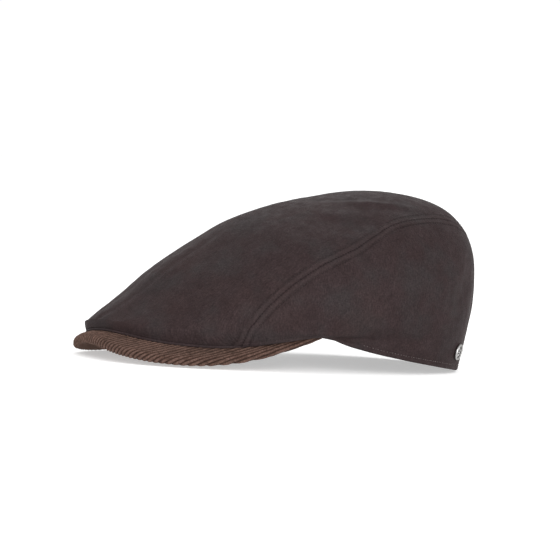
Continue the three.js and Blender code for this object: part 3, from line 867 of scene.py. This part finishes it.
def build_side_panel(side, name, node_name):
    fold = np.array(hem_rows())
    folds, columns = len(fold), 330
    rows = folds + len(LOW_ROWS) - 1 + MIDDLE_ROWS + len(EDGE_ROWS) - 1
    bm = new_grid(columns, rows)
    level = lambda v: round(v.co.y)
    bmesh.ops.subdivide_edges(bm, cuts=1, edges=[
        e for e in bm.edges if level(e.verts[0]) == level(e.verts[1])
        and (folds - 2 <= level(e.verts[0]) <= folds + 12 or level(e.verts[0]) > rows - 20)])
    at = flat_places(bm)
    bearing = side * side_bearings(at[:, 0] / columns)
    row = np.round(at[:, 1]).astype(int)
    share = outer_share(bearing, np.maximum(row - folds, 0))
    flat = seated(bearing, share)
    place, seam, run = dressed(bearing, share, flat)
    turned = row < folds
    b = bearing[turned]
    edge = seated(b, 0 * b)
    up, out = unit(seated(b, 0 * b + 0.02) - edge), surface_normal(seated, b, 0 * b)
    small = smallness(b)[:, None]
    height, deep = fold[row[turned]].T[:, :, None] * small
    place[turned] = edge + up * height - out * deep + (place - flat)[turned]
    place[:, 2] = np.maximum(place[:, 2], 0.02)
    around = np.abs(bearing) * 1.55
    cloth = np.stack([around, flat[:, 2]], axis=-1)
    (_, painted_ridge_highlight), painted_seam_shade = seam_marks(seam, run)
    # The hem's folded edge gets half of the painted ridge highlight.
    painted_ridge_highlight = np.maximum(painted_ridge_highlight, np.where(np.abs(row - folds) < 3, 0.5, 0))
    move_to(bm, place, cloth, [("seam", painted_ridge_highlight), painted_seam_shade])

    inner = new_grid(110, 26)
    at = flat_places(inner)
    bearing = side * side_bearings(at[:, 0] / 110)
    start = stepped(bearing, 0 * bearing, seam_share(bearing), HEM_TURN * smallness(bearing)[:, None])[:, 0]
    share = start + (seam_share(bearing) - start) * at[:, 1] / 26
    below = inner_face(bearing, share, WALL)
    move_to(inner, below, np.stack([np.abs(bearing) * 1.55, below[:, 2]], axis=-1),
            [("seam", 0 * share), ("painted_seam_shade", 0 * share)])
    new_piece(name, joined_shell(bm, inner), [WAXED, REVERSE], "waxed_cotton", node_name)


build_side_panel(1, "crown_side_panel_left", "side_panel_left")
build_side_panel(-1, "crown_side_panel_right", "side_panel_right")


# ---------------------------------------------------------------------------- the front welt
# A narrow folded strip of the waxed cotton between the crown's front edge and the peak. It is
# caught in the same seam and narrows towards the temples.
WELT_STAND_OUT, WELT_END = 0.6, 37.4


def build_welt():
    columns = 300
    corner = WELT_HEIGHT / 2
    arc = np.radians(np.linspace(-90, 90, 9))
    section = [(-WELT_STAND_OUT + corner * (1 - math.cos(a)), corner * (1 + math.sin(a))) for a in arc]
    section += [(1.2, WELT_HEIGHT), (2.2, WELT_HEIGHT), (2.2, 0), (1.2, 0), section[0]]
    inset, height = np.array(section).T
    bearing = np.linspace(-WELT_END, WELT_END, columns + 1)
    edge = seated(bearing, 0 * bearing)
    inward = -surface_normal(seated, bearing, 0 * bearing)
    inward[:, 2] = 0
    inward = unit(inward)
    taper = ease((WELT_END - np.abs(bearing)) / 4)
    place = edge[:, None, :] + inward[:, None, :] * (inset * (0.4 + 0.6 * taper[:, None]))[..., None]
    foot = peak_top(place[..., 0], place[..., 1]) + 0.2
    place[..., 2] = foot + height * (0.5 + 0.5 * taper[:, None])
    place[..., 2] += 0.12 * ripple(place, 8)
    bm = new_grid(columns, len(section) - 1)
    at = flat_places(bm).astype(int)
    run = np.concatenate([[0], np.cumsum(np.linalg.norm(np.diff(edge, axis=0), axis=1))])
    # The whole welt gets a quarter of the painted ridge highlight, as a lighter strip.
    move_to(bm, place[at[:, 0], at[:, 1]], np.stack([run[at[:, 0]], at[:, 1] * 0.5], axis=-1),
            [("seam", np.full(len(at), 0.25)), ("painted_seam_shade", np.zeros(len(at)))])
    bmesh.ops.remove_doubles(bm, verts=bm.verts, dist=1e-7)
    bmesh.ops.holes_fill(bm, edges=[e for e in bm.edges if e.is_boundary], sides=0)
    bmesh.ops.recalc_face_normals(bm, faces=bm.faces)
    new_piece("welt_strip", bm, [WAXED], "waxed_cotton", "front_welt")


build_welt()


# ---------------------------------------------------------------------------- the stitching
# Brown sewing thread, in single stitches: a sunken row on each side of every seam of the crown,
# and a lighter, shorter row that holds the turned-up hem.
def thread_material(name, dark, light):
    material, tree, shader = new_material(name, Sheen_Weight=0.03, Specular_IOR_Level=0.15)
    place = node(tree, "ShaderNodeTexCoord").outputs["Object"]
    twist = node(tree, "ShaderNodeTexWave", [("Vector", place), ("Scale", 900), ("Distortion", 2.0)],
                 bands_direction="DIAGONAL")
    worn = grouped(tree, mottle, [("Vector", place), ("Patch", 60), ("Speck", 700)])
    tree.links.new(mixed(tree, 0.5, ramp(tree, worn["Specks"], (0.3, dark), (0.7, light)),
                         ramp(tree, twist.outputs[1], (0.2, 0.6), (0.8, 1.2)), "MULTIPLY"),
                   shader.inputs["Base Color"])
    tree.links.new(ramp(tree, worn["Blotches"], (0.3, 0.5), (0.7, 0.7)), shader.inputs["Roughness"])
    bumped(tree, shader, twist.outputs[1], 0.0001, 0.6)
    return material


QUARTER_TURN = Matrix.Rotation(math.pi / 2, 4, "Y")


def sew(bm, bearing, share, radius, filled, sunk):
    """Stitches along a row given by fine steps of bearing and share"""
    flat = seated(bearing, share)
    place, _, _ = dressed(bearing, share, flat)
    normal = surface_normal(seated, bearing, share)
    run = np.concatenate([[0], np.cumsum(np.linalg.norm(np.diff(place, axis=0), axis=1))])
    at = lambda values, where: np.array([np.interp(where, run, values[:, c]) for c in range(3)])
    for k in range(1, int(run[-1] / STITCH_PITCH)):
        lean = 0.12 * math.sin(5.1 * k + 1.3 * math.sin(2.7 * k))
        size = radius * (1 + 0.3 * math.sin(3.7 * k + 2 * math.sin(1.1 * k)))
        first, last = [at(place, (k + lean + part * filled / 2) * STITCH_PITCH) for part in (-1, 1)]
        out = unit(at(normal, k * STITCH_PITCH))
        half = np.linalg.norm(last - first) / 2
        along = (last - first) / max(2 * half, 0.01)
        turn = Matrix((along * half, np.cross(out, along) * size, out * size)).transposed()
        middle = (first + last) / 2 + out * (size - sunk + 0.1 * lean)
        bmesh.ops.create_uvsphere(
            bm, u_segments=6, v_segments=6, radius=0.001,
            matrix=Matrix.Translation(Vector(middle) / 1000) @ turn.to_4x4() @ QUARTER_TURN)


def build_stitching():
    row = np.linspace(36.4, 179.7, 1500)
    seam = seam_share(row)
    out = [SEAM_BAND + 0.2]
    rows = [seam + stepped(row, seam, 0 * seam + 0.9, out, True)[:, 0],
            seam - stepped(row, seam, 0 * seam, out, True)[:, 0]]
    hem_row = row[row > 78.5]
    hem_share = stepped(hem_row, 0 * hem_row, seam_share(hem_row), [HEM_ROW])[:, 0]
    seams, hems = bmesh.new(), bmesh.new()
    for side in (1, -1):
        for share in rows:
            sew(seams, side * row, share, 0.2, 0.62, 0.16)
        sew(hems, side * hem_row, hem_share, 0.24, 0.45, 0.1)
        back = np.linspace(0.06, seam_share(np.array(180.0)) - 0.045, 500)
        sew(seams, side * (180 - math.degrees((SEAM_BAND + 0.2) / 92)) + 0 * back, back, 0.2, 0.62, 0.16)
    for bm, name, dark, light in (
            (seams, "seam_stitching", (0.01, 0.0065, 0.0065), (0.03, 0.02, 0.0195)),
            (hems, "hem_stitching", (0.03, 0.022, 0.021), (0.15, 0.125, 0.12))):
        for face in bm.faces:
            face.smooth = True
        new_piece(name, bm, [thread_material(name + "_thread", dark, light)], "waxed_cotton")


build_stitching()


# ---------------------------------------------------------------------------- the pin badge
# A round steel pin through the left side panel near the back: a raised rim round a plain
# rosette, with a post through the cloth and a round clutch behind it.
BADGE_BEARING, BADGE_SHARE = 135, 0.08
BADGE_FACE = [(0, 1.25), (1.2, 1.2), (3.7, 0.8), (4.0, 0.85), (4.2, 1.45), (4.45, 1.7), (4.9, 1.75),
              (5.25, 1.6), (5.45, 1.3), (5.5, 0.9), (5.45, 0.35), (5.1, 0.02), (0.9, 0.02)]
BADGE_BACK = [(0.9, -3.4), (3.8, -3.4), (4.3, -3.6), (4.4, -4.0), (3.6, -4.9), (1.5, -5.2), (0, -5.2)]


def steel_material():
    material, tree, shader = new_material(
        "worn_steel", Specular_Tint=(0.5, 0.49, 0.48, 1), Specular_IOR_Level=0.1)
    place = node(tree, "ShaderNodeTexCoord").outputs["Object"]
    worn = grouped(tree, mottle, [("Vector", place), ("Patch", 300), ("Speck", 4000)])
    low = node(tree, "ShaderNodeAttribute", attribute_name="recess").outputs["Fac"]
    metal = ramp(tree, worn["Blotches"], (0.3, (0.36, 0.355, 0.35)), (0.7, (0.56, 0.55, 0.54)))
    tree.links.new(mixed(tree, low, metal, (0.01, 0.008, 0.008, 1)),
                   shader.inputs["Base Color"])
    tree.links.new(ramp(tree, low, (0.0, 1.0), (1.0, 0.0)), shader.inputs["Metallic"])
    tree.links.new(ramp(tree, worn["Specks"], (0.3, 0.28), (0.7, 0.42)), shader.inputs["Roughness"])
    bumped(tree, shader, worn["Specks"], 0.00005, 0.3)
    return material


def build_badge():
    b, t = np.array([float(BADGE_BEARING)]), np.array([BADGE_SHARE])
    out = surface_normal(crown_point, b, t)[0]
    seat = crown_point(b, t)[0] + out * 0.45
    bm = bmesh.new()
    profile = [bm.verts.new((r / 1000, 0, z / 1000)) for r, z in BADGE_FACE + BADGE_BACK]
    edges = [bm.edges.new(pair) for pair in zip(profile, profile[1:])]
    bmesh.ops.spin(bm, geom=profile + edges, axis=(0, 0, 1), cent=(0, 0, 0), angle=2 * math.pi,
                   steps=64, use_merge=True)
    bmesh.ops.remove_doubles(bm, verts=bm.verts, dist=1e-7)
    recess = bm.verts.layers.float.new("recess")
    for v in bm.verts:
        v[recess] = float(math.hypot(v.co.x, v.co.y) < 0.0041 and v.co.z > 0)
    for k in range(5):
        petal = Matrix.Rotation((k + 0.3) * math.pi / 2.5, 4, "Z") @ Matrix.Translation((0.002, 0, 0.0009))
        bmesh.ops.create_uvsphere(bm, u_segments=12, v_segments=8, radius=0.001,
                                  matrix=petal @ Matrix.Diagonal((1.3, 0.42, 0.6, 1)))
    middle = Matrix.Translation((0, 0, 0.00115)) @ Matrix.Diagonal((0.6, 0.6, 0.5, 1))
    bmesh.ops.create_uvsphere(bm, u_segments=16, v_segments=10, radius=0.001, matrix=middle)
    bmesh.ops.recalc_face_normals(bm, faces=bm.faces)
    for face in bm.faces:
        face.smooth = True
    frame_turn = Vector((0, 0, 1)).rotation_difference(Vector(out)).to_matrix().to_4x4()
    bmesh.ops.transform(bm, matrix=Matrix.Translation(Vector(seat) / 1000) @ frame_turn, verts=bm.verts)
    new_piece("steel_pin_badge", bm, [steel_material()], "badge_steel", "pin_badge")


build_badge()


# ---------------------------------------------------------------------------- floor, light, camera
# A pale glowing table under soft white light from all round, with a large soft lamp beside the
# camera and another above and behind the cap.
def build_floor():
    mesh = bpy.data.meshes.new("floor")
    bm = bmesh.new()
    bmesh.ops.create_circle(bm, cap_ends=True, segments=64, radius=40)
    bm.to_mesh(mesh)
    bm.free()
    floor = bpy.data.objects.new("floor", mesh)
    bpy.context.scene.collection.objects.link(floor)
    floor.location.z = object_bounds()[0].z - 0.0002
    material, _, _ = new_material("pale_floor", Base_Color=(0.75, 0.75, 0.75, 1), Roughness=1.0,
                                  Emission_Strength=0.45)
    mesh.materials.append(material)


def soft_lamp(name, power, size, place, aim):
    lamp = bpy.data.lights.new(name, "AREA")
    lamp.energy, lamp.size = power, size
    made = bpy.data.objects.new(name, lamp)
    made.location = place
    made.rotation_euler = (Vector(aim) - Vector(place)).to_track_quat("-Z", "Y").to_euler()
    bpy.context.scene.collection.objects.link(made)


CAMERA_BEARING, CAMERA_RISE, CAMERA_ROLL = 62.0, 2.4, 3.4
CAMERA_DISTANCE, CAMERA_LENS = 1.8, 176
CAMERA_AIM, AIM_RIGHT, AIM_UP = (0, 0, 0.057), 0.0035, -0.0036


def build_camera():
    turn, rise, roll = [math.radians(v) for v in (CAMERA_BEARING, CAMERA_RISE, CAMERA_ROLL)]
    back = Vector((math.sin(turn) * math.cos(rise), -math.cos(turn) * math.cos(rise), math.sin(rise)))
    level = Vector((math.cos(turn), math.sin(turn), 0))
    upright = back.cross(level)
    right = level * math.cos(roll) + upright * math.sin(roll)
    up = back.cross(right)
    lens = bpy.data.cameras.new("camera")
    lens.lens, lens.sensor_width = CAMERA_LENS, 36
    lens.clip_start, lens.clip_end = 0.05, 40
    camera = bpy.data.objects.new("camera", lens)
    aim = Vector(CAMERA_AIM) + right * AIM_RIGHT + up * AIM_UP
    camera.matrix_world = Matrix.Translation(aim + back * CAMERA_DISTANCE) @ Matrix(
        (right, up, back)).transposed().to_4x4()
    bpy.context.scene.collection.objects.link(camera)
    bpy.context.scene.camera = camera


def build_light():
    world = bpy.data.worlds.new("daylight")
    world.use_nodes = True
    world.node_tree.nodes["Background"].inputs["Color"].default_value = (1, 1, 1, 1)
    world.node_tree.nodes["Background"].inputs["Strength"].default_value = 1.02
    bpy.context.scene.world = world
    soft_lamp("side_lamp", 30, 1.2, (1.65, -0.6, 0.4), (0, 0, 0.05))
    soft_lamp("back_lamp", 4, 0.6, (-1.3, 0.7, 1.35), (0, 0, 0.08))
    bpy.context.scene.view_settings.view_transform = "Standard"


build_floor()
build_light()
build_camera()
